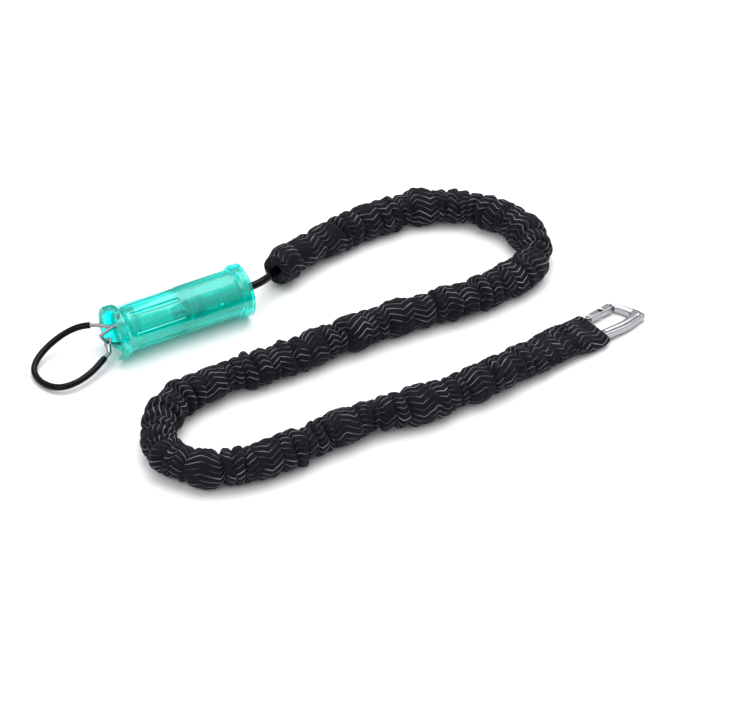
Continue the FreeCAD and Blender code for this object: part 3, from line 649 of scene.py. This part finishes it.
@dataclass
class GatheredWebbing:
    """Tube of webbing bunched over its elastic, with rings of puffed cloth between pinched folds.

    Its last stretch is pressed flat and goes over into the sewn tab.
    """

    body: Body = Body.LEASH
    radius: float = 14.9 * MM
    girth: float = 80.0 * MM
    around: int = 72
    step: float = 0.82 * MM
    seed: int = 11
    wide_ring_share: float = 0.14   # share of the rings between folds that are long ones
    hidden_cloth: float = 0.85      # share of the walked surface that the pattern runs along
    flat_reach: float = 80.0 * MM   # how far before the tab the tube starts to flatten
    calm_reach: float = 34.0 * MM   # how far before the tab its folds start to fade
    tab_half_width: float = 18.4 * MM
    tab_half_height: float = 8.2 * MM

    def folds(self, length: float, chance: np.random.Generator) -> np.ndarray:
        """Places of the pinched folds along the tube.

        Args:
            length: Length of the tube.
            chance: Seeded random numbers.

        Returns:
            Places in metres, from before the start to past the end.
        """
        places = [-8 * MM, 21 * MM, 49 * MM]
        while places[-1] < length + 20 * MM:
            wide = chance.random() < self.wide_ring_share
            places.append(places[-1] + MM * (chance.uniform(18, 25) if wide else chance.uniform(7, 13)))
        return np.array(places)

    def radii(self, run: np.ndarray, angles: np.ndarray,
              chance: np.random.Generator) -> tuple[np.ndarray, np.ndarray]:
        """Distance of the cloth from the centre line, for each place and angle.

        Args:
            run: Places along the tube.
            angles: Angles round it.
            chance: Seeded random numbers.

        Returns:
            The distances, and how much cloth the folds up to each point hide, in metres, with
            one row for each place and one column for each angle.
        """
        folds = self.folds(run[-1], chance)
        count = len(folds)
        gaps = np.diff(folds)
        tops = self.radius - 1.5 * MM + 0.07 * gaps + MM * chance.uniform(-1.5, 1.2, count - 1)
        tops = np.append(tops, tops[-1])
        lean = chance.uniform(-1, 1, (count, 3)) * np.array([2.8, 1.7, 1.1]) * MM
        turn = chance.uniform(0, 2 * math.pi, (count, 6))
        depth = MM * chance.uniform(3.0, 6.4, count)
        fade = chance.uniform(0.0, 0.8, count)
        hidden = np.cumsum(MM * chance.uniform(2.0, 8.0, count))
        bulge = chance.uniform(-0.07, 0.07, count)
        result = np.zeros((len(run), len(angles)))
        tucked = np.zeros_like(result)
        for column, angle in enumerate(angles):
            places = folds + sum(lean[:, k] * np.sin((k + 1) * angle + turn[:, k]) for k in range(3))
            places = np.maximum.accumulate(places + np.arange(count) * 1e-6)
            deep = depth * (1 - fade * (0.5 + 0.5 * np.sin(angle + turn[:, 3])) ** 1.5)
            index = np.clip(np.searchsorted(places, run, side="right") - 1, 0, count - 2)
            part = (run - places[index]) / np.maximum(places[index + 1] - places[index], 2 * MM)
            part = np.clip(part, 0.0, 1.0)
            local = tops * (1 + bulge * np.cos(2 * (angle - turn[:, 5])))
            before = np.minimum(local[np.maximum(index - 1, 0)], local[index]) - deep[index]
            after = np.minimum(local[index], local[index + 1]) - deep[index + 1]
            floor = before * (1 - part) + after * part
            puff = (1 - np.abs(2 * part - 1) ** 2.6) ** 0.48
            result[:, column] = floor + (local[index] - floor) * puff
            tucked[:, column] = hidden[index]
        return result + self.wrinkles(run, angles, chance), tucked

    def wrinkles(self, run: np.ndarray, angles: np.ndarray, chance: np.random.Generator) -> np.ndarray:
        """Small slanting creases in the puffed rings.

        Args:
            run: Places along the tube.
            angles: Angles round it.
            chance: Seeded random numbers.

        Returns:
            Height of the creases, in metres.
        """
        total = np.zeros((len(run), len(angles)))
        for wave, height in ((11.0, 0.42), (7.0, 0.32), (4.9, 0.20)):
            slant, phase = chance.uniform(-2.4, 2.4), chance.uniform(0, 6.28)
            beat = chance.uniform(17, 41)
            drift = 2.2 * np.sin(run / (29 * MM) + phase)
            weave = 1.6 * np.sin(2 * angles[None, :] + run[:, None] / (13 * MM))
            body = np.sin(2 * math.pi * run[:, None] / (wave * MM) + np.round(slant) * angles[None, :]
                          + drift[:, None] + weave)
            swell = 0.5 + 0.5 * np.sin(run[:, None] / (beat * MM) + 2 * angles[None, :] + phase)
            total += MM * height * body * swell
        return total

    def build(self, finishes: Finishes) -> list[bpy.types.Object]:
        """Args:
            finishes: Materials of the leash.

        Returns:
            The new pieces.
        """
        chance = np.random.default_rng(self.seed)
        track = Track(route_line("webbing_centre_line", WEBBING_ROUTE), self.step)
        angles = ring_angles(self.around)
        radii, tucked = self.radii(track.run, angles, chance)
        knots = np.linspace(0, track.length, 70)
        sway = np.interp(track.run, knots, MM * chance.uniform(-1.5, 1.5, 70))

        flat = ease(1 - (track.length - track.run) / self.flat_reach)
        calm = 0.15 + 0.85 * ease((track.length - track.run) / self.calm_reach)
        ratio = 1 + (radii / self.radius - 1) * ((1 - 0.25 * flat) * calm)[:, None]
        wide = self.radius * (1 - flat) + self.tab_half_width * flat
        high = self.radius * (1 - flat) + self.tab_half_height * flat
        start = 0.84 + 0.16 * ease(track.run / (14 * MM))
        drop = flat * (track.places[:, 2] - self.tab_half_height - 0.4 * MM)
        centre = track.places + track.side * sway[:, None] - np.array([0, 0, 1.0]) * drop[:, None]
        rings = track.rings(centre, (wide * start)[:, None] * ratio * np.cos(angles),
                            (high * start)[:, None] * ratio * np.sin(angles))
        rings[:, :, 2] = np.maximum(rings[:, :, 2], 0.25 * MM + 0.02 * rings[:, :, 2])
        walked = np.linalg.norm(np.diff(rings, axis=0), axis=2)
        cloth = np.concatenate([np.zeros((1, self.around)), np.cumsum(walked, axis=0)])
        cloth = self.hidden_cloth * cloth.mean(axis=1, keepdims=True) + tucked

        lip = self.turned_in(track, rings[0])
        lip_cloth = np.repeat((np.arange(len(lip)) - len(lip))[:, None] * 2.5 * MM, self.around, axis=1)
        piece = skin("gathered_webbing", np.concatenate([lip, rings]),
                     np.concatenate([lip_cloth, cloth]), self.girth)
        stand_for(piece, "webbing", "webbing_sleeve", "webbing_hem",
                  material=finishes.webbing, body=self.body)
        inside = self.elastic(finishes, track, drop)
        tab = WebbingTab(around=self.around, girth=self.girth)
        return [piece, *inside, *tab.build(finishes, rings[-4], cloth[-4])]

    def elastic(self, finishes: Finishes, track: Track, drop: np.ndarray) -> list[bpy.types.Object]:
        """Elastic cord inside the webbing, with the crimp at each of its ends.

        Args:
            finishes: Materials of the leash.
            track: Centre line of the webbing.
            drop: How far the centre sinks where the webbing is flattened.

        Returns:
            The cord and its two crimps.
        """
        centre = track.places - np.array([0, 0, 1.0]) * drop[:, None]
        pieces = []
        for name, node, first, last, radius, finish in (
                ("elastic_cord", "bungee_core", 15.5, -13.0, 5.0, finishes.braid),
                ("start_crimp", "bungee_start_clamp", 2.6, 15.4, 6.0, finishes.acetal),
                ("end_crimp", "bungee_end_clamp", -12.9, -0.2, 6.0, finishes.acetal)):
            begin = first * MM if first > 0 else track.length + first * MM
            end = last * MM if last > 0 else track.length + last * MM
            part = Track(centre[(track.run >= begin) & (track.run <= end)], 1.6 * MM)
            lip = np.sqrt(np.clip(np.minimum(part.run, part.length - part.run) / (1.5 * MM), 0, 1))
            radii = radius * MM * (0.8 + 0.2 * lip)[:, None] * np.ones((1, 24))
            piece = tube(name, part, radii, ring_angles(24), 0.03)
            slot = "bungee" if node == "bungee_core" else "acetal"
            pieces.append(stand_for(piece, slot, node, material=finish, body=self.body))
        return pieces

    def turned_in(self, track: Track, first: np.ndarray) -> np.ndarray:
        """Rings of the cloth that is folded into the tube's open end.

        Args:
            track: Centre line of the tube.
            first: First ring of the tube itself.

        Returns:
            The rings, innermost first.
        """
        centre, ahead = track.places[0], track.ahead[0]
        spokes = first - centre
        profile = ((3.0, 0.235), (1.0, 0.25), (-0.4, 0.31), (-1.4, 0.48), (-2.1, 0.62), (-2.4, 0.76),
                   (-2.1, 0.88), (-1.2, 0.97))
        rings = np.array([centre + ahead * depth * MM + spokes * share for depth, share in profile])
        rings[:, :, 2] = np.maximum(rings[:, :, 2], 0.3 * MM)
        return rings


@dataclass
class WebbingTab:
    """Flat sewn end of the webbing, with its stitches, that the snap hook's bar is held in."""

    around: int
    girth: float
    body: Body = Body.LEASH
    outer_end: Point = (152.1 * MM, -83.5 * MM, 0.0)
    heading: float = math.radians(8.0)
    width: float = 38.0 * MM
    thickness: float = 12.0 * MM
    flat: float = 15.0 * MM         # length that is pressed quite flat
    rows: int = 64
    stitch: float = 2.6 * MM
    lines: tuple[float, ...] = (-12.9 * MM, -14.9 * MM)

    def placed(self, along: float, side: float, up: float) -> Vector:
        """Point of the tab from its outer end."""
        turn = Matrix.Rotation(self.heading, 3, "Z")
        return Vector(self.outer_end) + turn @ Vector((along, side, up))

    def flat_ring(self, along: float, wave: float) -> np.ndarray:
        """Section of the pressed end, with points evenly round it.

        Args:
            along: Distance from the outer end, not above 0.
            wave: Height of the ripples, in metres.

        Returns:
            Points of the section, sideways and up, in metres.
        """
        close = max(0.0, (along + 5.0 * MM) / (5.0 * MM))
        half_h = self.thickness / 2 * math.sqrt(max(1 - 0.75 * close ** 2, 0.0))
        half_w = self.width / 2 * (1 - 0.06 * close ** 3)
        dense = np.linspace(0, 2 * math.pi, 721)
        c, s = np.cos(-math.pi / 2 - dense), np.sin(-math.pi / 2 - dense)
        y = -half_w * np.sign(c) * np.abs(c) ** 0.45
        z = half_h * np.sign(s) * np.abs(s) ** 0.8
        z = z + np.where(s > 0, wave * np.sin(along / (2.1 * MM) + 6 * y / self.width), 0.0)
        walked = np.concatenate([[0], np.cumsum(np.hypot(np.diff(y), np.diff(z)))])
        even = np.arange(self.around) / self.around * walked[-1]
        return np.stack([np.interp(even, walked, y), np.interp(even, walked, z) + self.thickness / 2],
                        axis=1)

    def build(self, finishes: Finishes, first: np.ndarray, cloth: np.ndarray) -> list[bpy.types.Object]:
        """Build the tab from the webbing's last ring out to its fold, and its stitches.

        Args:
            finishes: Materials of the leash.
            first: Points of the ring that the tab starts from.
            cloth: How far along the cloth those points lie.

        Returns:
            The new pieces.
        """
        turn = np.array(Matrix.Rotation(self.heading, 3, "Z"))
        local = (first - np.array(self.outer_end)) @ turn
        local[:, 1:] = (local[:, 1:] - local[:, 1:].mean(axis=0)) * 0.985 + local[:, 1:].mean(axis=0)
        begin = local[:, 0]
        rings, maps = [], []
        for row in range(self.rows + 1):
            part = row / self.rows
            along = begin * (1 - part)
            middle = float(along.mean())
            pressed = ease(np.array(part / 0.62)).item()
            ripple = 0.5 * MM * (1 - pressed) + 0.12 * MM
            yz = local[:, 1:] * (1 - pressed) + self.flat_ring(middle, ripple) * pressed
            pleat = 1.1 * MM * math.exp(-((part - 0.2) / 0.2) ** 2) * math.sin(part * 58)
            lift = np.where(yz[:, 1] > self.thickness / 2,
                            pleat * (1 + 0.5 * np.sin(yz[:, 0] * 260)), 0.0)
            yz[:, 1] = np.maximum(yz[:, 1] + lift, 0.25 * MM)
            slant = 1.6 * MM * np.sin(yz[:, 0] * 120) * (1 - part) * part * 4
            rings.append(np.column_stack([along + slant, yz]) @ turn.T + np.array(self.outer_end))
            maps.append(cloth - begin * part * 1.1)
        last = rings[-1]
        middle = last.mean(axis=0)
        inward = turn @ np.array([-1.0, 0, 0])
        for share, depth in ((0.82, -0.3), (0.66, 0.4), (0.58, 3.0), (0.52, 7.0)):
            squeeze = np.array([1.0, 1.0, share]) * (0.98 - 0.10 * (1 - share))
            flatter = middle + (last - middle) * squeeze
            rings.append(flatter + inward * depth * MM)
            maps.append(maps[-1] + 1.5 * MM)
        tab = skin("folded_tab", np.array(rings), np.array(maps), self.girth)
        stand_for(tab, "webbing", "webbing_tab", material=finishes.webbing, body=self.body)
        return [tab, self.stitches(finishes)]

    def stitches(self, finishes: Finishes) -> bpy.types.Object:
        """Two rows of thread across the tab, each stitch a small pulled-in bead.

        Args:
            finishes: Materials of the leash.

        Returns:
            The stitches as one piece.
        """
        deselect()
        radius = 0.4 * MM
        bpy.ops.mesh.primitive_uv_sphere_add(segments=10, ring_count=6, radius=radius)
        bead = bpy.context.active_object
        bpy.ops.object.mode_set(mode="EDIT")
        bpy.ops.mesh.select_all(action="SELECT")
        bpy.ops.transform.resize(value=(1.0, self.stitch * 0.45 / radius, 0.7))
        bpy.ops.object.mode_set(mode="OBJECT")
        copies = []
        for row in self.lines:
            for number in range(11):
                copy = linked("stitch", bead.data.copy())
                place = self.placed(row, (number - 5) * self.stitch, self.thickness + 0.05 * MM)
                copy.data.transform(Matrix.Translation(place) @ Matrix.Rotation(self.heading, 4, "Z"))
                copies.append(copy)
        bpy.data.objects.remove(bead)
        thread = joined("tab_thread", copies)
        thread.data.shade_smooth()
        return stand_for(thread, "rope", "tab_stitching", material=finishes.thread, body=self.body)


@dataclass
class CableLoop:
    """Steel cable with a glossy cover, bare for a short way at each end."""

    body: Body = Body.CORE
    cable: float = 1.75 * MM
    cover: float = 2.6 * MM
    strands: int = 7
    strand_depth: float = 0.20      # share of the radius that the lay between strands takes
    lay_length: float = 13.0 * MM
    cover_start: float = 6.0 * MM
    cover_end: float = 21.0 * MM

    def build(self, finishes: Finishes) -> list[bpy.types.Object]:
        """Args:
            finishes: Materials of the leash.

        Returns:
            The new pieces.
        """
        line = route_line("loop_centre_line", LOOP_ROUTE)
        track = Track(line, 0.5 * MM)
        angles = ring_angles(56)
        twist = 2 * math.pi * track.run / self.lay_length
        lobes = np.abs(np.cos(self.strands / 2 * (angles[None, :] - twist[:, None])))
        radii = self.cable * (1 - self.strand_depth + self.strand_depth * lobes ** 0.7)
        cable = tube("loop_wire_rope", track, radii, angles, 0.011)
        stand_for(cable, "cable", "loop_cable", material=finishes.cable, body=self.body)

        inside = (track.run >= self.cover_start) & (track.run <= track.length - self.cover_end)
        part = Track(track.places[inside], 0.9 * MM)
        lip = np.minimum(part.run, part.length - part.run)
        shape = self.cover * (0.86 + 0.14 * np.sqrt(np.clip(lip / (1.2 * MM), 0, 1)))
        swell = 1 + 0.012 * np.sin(part.run / (7 * MM)) + 0.01 * np.sin(part.run / (2.9 * MM))
        angles = ring_angles(32)
        radii = (shape * swell)[:, None] * np.ones((1, 32))
        cover = tube("loop_cover_tube", part, radii, angles, 0.016)
        stand_for(cover, "cover", "loop_cover", material=finishes.vinyl, body=self.body)
        return [cable, cover]


@dataclass
class QuickRelease:
    """Push-away release: see-through sleeve and cap over the ribbed core, hook and spring."""

    mouth: Point = (-189.0 * MM, 83.0 * MM, 21.5 * MM)
    flat: float = 21.5 * MM
    notch_radius: float = 14.0 * MM
    notch_depth: float = 8.0 * MM
    edge: float = 0.8 * MM
    spring_ends: tuple[Point, Point] = ((-112.5 * MM, 83.0 * MM, 21.5 * MM),
                                        (-81.8 * MM, 83.0 * MM, 21.5 * MM))
    sleeve_profile: tuple[tuple[float, float], ...] = (
        (8, 16), (3.5, 17.2), (1.2, 18.6), (0, 20.2), (0, 22), (7, 22), (9.0, 20.6), (12, 18.8),
        (59, 18.8), (61, 19.4), (104, 19.4), (107, 20.4), (109, 22), (116, 22), (116, 17.6),
        (110, 17.6), (110, 16))
    cap_profile: tuple[tuple[float, float], ...] = (
        (73, 5.2), (73, 6.4), (76, 6.4), (76, 8), (110.05, 8), (110.05, 17.5), (114.5, 17.5),
        (114.5, 15.6), (112.6, 13.0), (112, 8), (113, 5.7), (112.5, 5.2))

    def build(self, finishes: Finishes) -> list[bpy.types.Object]:
        """Build the sleeve and the cap, and dress the release's other nodes.

        Args:
            finishes: Materials of the leash.

        Returns:
            The new pieces.
        """
        for node, material in (
                ("core_body", finishes.core), ("spring_seat", finishes.acetal),
                ("core_end_ring", finishes.core),
                ("hook_pivot_pin", finishes.steel), ("fixed_end_ferrule", finishes.steel),
                ("release_hook", finishes.steel), ("loop_ferrule", finishes.steel),
                ("loop_eye", finishes.steel), ("rope_stopper", finishes.steel),
                ("swivel_washer", finishes.steel), ("shank_rope", finishes.braid),
                ("shank_hose", finishes.vinyl), ("load_strap", finishes.braid)):
            dress(node, material)
        coil = flexing("return_spring", "coil_spring",
                       finishes.wire)
        return [coil, self.sleeve(finishes), self.cap(finishes)]

    def sleeve(self, finishes: Finishes) -> bpy.types.Object:
        """Flanged grip with its saddle mouth, flats and shallow flutes.

        Args:
            finishes: Materials of the leash.

        Returns:
            The sleeve.
        """
        mouth = Vector(self.mouth)
        sleeve = lathe("release_grip", list(self.sleeve_profile), mouth)
        deselect()
        bpy.ops.mesh.primitive_cylinder_add(
            vertices=96, radius=self.notch_radius, depth=0.1,
            location=mouth + Vector((self.notch_depth - self.notch_radius, 0, 0)))
        carve(sleeve, bpy.context.active_object)
        for number in range(4):
            turn = Matrix.Rotation(math.pi / 2 * number, 3, "X")
            deselect()
            place = mouth + Vector((0.058, 0, 0)) + turn @ Vector((0, 0, self.flat + 0.005))
            bpy.ops.mesh.primitive_cube_add(size=0.01, location=place)
            block = bpy.context.active_object
            bpy.ops.object.mode_set(mode="EDIT")
            bpy.ops.transform.resize(value=(13, 5, 1) if number % 2 == 0 else (13, 1, 5),
                                     center_override=place)
            bpy.ops.object.mode_set(mode="OBJECT")
            carve(sleeve, block)
        carve(sleeve, self.flutes())
        shaped(sleeve, "BEVEL", width=self.edge, segments=3, limit_method="ANGLE",
               angle_limit=math.radians(38))
        smooth(sleeve)
        return stand_for(sleeve, "teal", "release_sleeve", material=finishes.sleeve, body=Body.SLEEVE)

    def flutes(self) -> bpy.types.Object:
        """Cutter for the eight shallow flutes of the grip, modelled once and copied round."""
        mouth = Vector(self.mouth)
        deselect()
        place = mouth + Vector((0.036, 0, 0.0196))
        bpy.ops.mesh.primitive_cylinder_add(vertices=24, radius=2.2 * MM, depth=0.042, location=place,
                                            rotation=(0, math.pi / 2, 0))
        bar = bpy.context.active_object
        bpy.ops.object.transform_apply(location=True, rotation=True, scale=True)
        bars = []
        about = Matrix.Translation(mouth)
        for number in range(8):
            turn = Matrix.Rotation(math.radians(22.5 + 45 * number), 4, "X")
            bars.append(linked("flute", bar.data.copy()))
            bars[-1].data.transform(about @ turn @ about.inverted())
        bpy.data.objects.remove(bar)
        return joined("flutes", bars)

    def cap(self, finishes: Finishes) -> bpy.types.Object:
        """Dished cap in the sleeve's back end.

        Args:
            finishes: Materials of the leash.

        Returns:
            The cap.
        """
        cap = lathe("dished_cap", list(self.cap_profile), Vector(self.mouth))
        shaped(cap, "BEVEL", width=0.3 * MM, segments=2, limit_method="ANGLE",
               angle_limit=math.radians(38))
        smooth(cap)
        return stand_for(cap, "teal", "rear_cap", material=finishes.sleeve, body=Body.SLEEVE)


@dataclass
class SnapHook:
    """Forged snap hook with its gate, its edges rolled round by the forging and polishing."""

    bar: Point = (148.634 * MM, -83.987 * MM, 6.0 * MM)
    nose: Point = (0.9889109, 0.1389824, -0.052336)
    across: Point = (-0.139173, 0.990268, 0.0)
    thickness: float = 6.0 * MM
    grain: float = 0.42 * MM
    leaf_ends: tuple[Point, Point] = ((157.3 * MM, -69.6 * MM, 5.5 * MM),
                                      (163.6 * MM, -68.4 * MM, 4.9 * MM))
    taper: float = 4.4 * MM         # how far the spine leans in by the nose
    rounding: int = 34              # smoothing passes
    groove_width_mm: float = 0.75
    arm_groove: tuple[tuple[float, float], ...] = ((34.9, 13.4), (37.9, 8.4), (40.0, 3.2), (41.4, -2.6))
    spine_groove: tuple[tuple[float, float], ...] = ((6.0, -9.7), (24.0, -10.2), (42.0, -11.4))

    def forged(self, node: str, name: str, body: Body, material: bpy.types.Material,
               grooves: list[tuple[tuple[tuple[float, float], ...], float]]) -> bpy.types.Object:
        """Round off a copy of a hook node and press its grooves.

        Args:
            node: Model node that the piece stands for.
            name: Name of the piece.
            body: Body that it rides on.
            material: Its finish.
            grooves: Each groove's line in millimetres from the bar, and its depth in metres.

        Returns:
            The piece.
        """
        piece = linked(name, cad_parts[node].data.copy())
        select_only(piece)
        bpy.ops.object.mode_set(mode="EDIT")
        bpy.ops.mesh.select_all(action="SELECT")
        bpy.ops.mesh.remove_doubles(threshold=1e-6)
        bpy.ops.object.mode_set(mode="OBJECT")
        along, side = Vector(self.nose), Vector(self.across)
        frame_of_hook = Matrix((along, side, along.cross(side))).transposed().to_4x4()
        frame_of_hook.translation = Vector(self.bar)
        piece.data.transform(frame_of_hook.inverted())
        shaped(piece, "REMESH", mode="VOXEL", voxel_size=self.grain, adaptivity=0.0)
        shaped(piece, "SMOOTH", factor=0.5, iterations=self.rounding)
        piece.data.transform(frame_of_hook)
        self.press(piece.data, grooves)
        piece.data.shade_smooth()
        piece.data.materials.clear()
        return stand_for(piece, "stainless", node, material=material, body=body)

    def press(self, mesh: bpy.types.Mesh,
              grooves: list[tuple[tuple[tuple[float, float], ...], float]]) -> None:
        """Sink grooves into both broad faces of a mesh.

        Args:
            mesh: Mesh to change.
            grooves: Lines in millimetres from the bar, and depths in metres.
        """
        along, side = np.array(self.nose), np.array(self.across)
        up = np.cross(along, side)
        points = np.zeros(len(mesh.vertices) * 3)
        mesh.vertices.foreach_get("co", points)
        points = points.reshape(-1, 3)
        local = points - np.array(self.bar)
        s, t, z = local @ along / MM, local @ side / MM, local @ up
        lean = self.taper * ease((s - 18) / 30) ** 1.5 * np.clip((2 - t) / 9, 0, 1)
        points += side * lean[:, None]
        for line, depth in grooves:
            nearest = np.full(len(s), 1e9)
            for (s0, t0), (s1, t1) in zip(line, line[1:]):
                ds, dt = s1 - s0, t1 - t0
                share = np.clip(((s - s0) * ds + (t - t0) * dt) / (ds ** 2 + dt ** 2), 0, 1)
                nearest = np.minimum(nearest, np.hypot(s - s0 - share * ds, t - t0 - share * dt))
            near_face = ease((np.abs(z) - 0.25 * self.thickness) / (0.2 * self.thickness))
            push = depth * np.exp(-(nearest / self.groove_width_mm) ** 2) * near_face * np.sign(z)
            points -= up * push[:, None]
        mesh.vertices.foreach_set("co", points.ravel())
        mesh.update()

    def build(self, finishes: Finishes) -> list[bpy.types.Object]:
        """Round the hook and its gate, and dress their small nodes.

        Args:
            finishes: Materials of the leash.

        Returns:
            The new pieces.
        """
        dress("gate_pin", finishes.steel)
        return [
            flexing("gate_spring", "gate_leaf",
                    finishes.wire),
            self.forged("snap_hook_body", "forged_hook", Body.SNAP_HOOK, finishes.steel,
                        [(self.arm_groove, 1.0 * MM), (self.spine_groove, 0.5 * MM)]),
            self.forged("snap_hook_gate", "forged_gate", Body.GATE, finishes.steel, []),
        ]


@dataclass
class Studio:
    """Camera, pale floor and soft lights."""

    eye: Point = (-0.8404, -1.4558, 1.2929)
    target: Point = (-0.0130, -0.0228, 0.0)
    lens_mm: float = 129.2
    horizon: float = 0.12
    zenith: float = 1.05

    def build(self) -> None:
        """Make the camera, the floor, the lights and the sky."""
        camera = linked("camera", bpy.data.cameras.new("camera"))
        camera.data.lens = self.lens_mm
        camera.data.sensor_width = 36.0
        camera.location = self.eye
        aim = Vector(self.target) - Vector(self.eye)
        camera.rotation_euler = aim.to_track_quat("-Z", "Y").to_euler()
        bpy.context.scene.camera = camera
        bpy.context.scene.view_settings.view_transform = "Standard"

        deselect()
        bpy.ops.mesh.primitive_plane_add(size=8.0, location=(0.0, 0.0, 0.0))
        floor = bpy.context.active_object
        floor.name = "studio_floor"
        paper = bpy.data.materials.new("studio_paper")
        paper.use_nodes = True
        shader = paper.node_tree.nodes["Principled BSDF"]
        shader.inputs["Base Color"].default_value = linear("f7f8f9")
        shader.inputs["Roughness"].default_value = 0.9
        floor.data.materials.append(paper)

        self.softbox("overhead", (0.45, 0.40, 1.7), 1.8, 28.0)
        self.softbox("front_fill", (-1.3, -0.6, 1.3), 0.9, 5.0)
        world = bpy.data.worlds.new("studio_sky")
        bpy.context.scene.world = world
        world.use_nodes = True
        nodes, links = world.node_tree.nodes, world.node_tree.links
        sky = nodes["Background"]
        way = nodes.new("ShaderNodeTexCoord")
        split = nodes.new("ShaderNodeSeparateXYZ")
        ramp = nodes.new("ShaderNodeMapRange")
        ramp.inputs["From Max"].default_value = 0.75
        ramp.inputs["To Min"].default_value = self.horizon
        ramp.inputs["To Max"].default_value = self.zenith
        links.new(way.outputs["Generated"], split.inputs["Vector"])
        links.new(split.outputs["Z"], ramp.inputs["Value"])
        links.new(ramp.outputs["Result"], sky.inputs["Strength"])
        sky.inputs["Color"].default_value = linear("ffffff")

    def softbox(self, name: str, place: Point, size: float, watts: float) -> None:
        """Square lamp that points at the middle of the leash.

        Args:
            name: Name of the lamp.
            place: Where it hangs.
            size: Side of its face in metres.
            watts: Its power.
        """
        lamp = linked(name, bpy.data.lights.new(name, "AREA"))
        lamp.data.size = size
        lamp.data.energy = watts
        lamp.location = place
        aim = Vector(self.target) - Vector(place)
        lamp.rotation_euler = aim.to_track_quat("-Z", "Y").to_euler()


def main() -> None:
    """Build the studio and every sub-assembly."""
    logging.basicConfig(level=logging.INFO, format="%(name)s: %(message)s")
    Studio().build()
    finishes = Finishes()
    for maker in (GatheredWebbing(), CableLoop(), QuickRelease(), SnapHook()):
        for piece in maker.build(finishes):
            LOG.info("%s: %d faces", piece.name, len(piece.data.polygons))


if __name__ == "__main__":
    main()
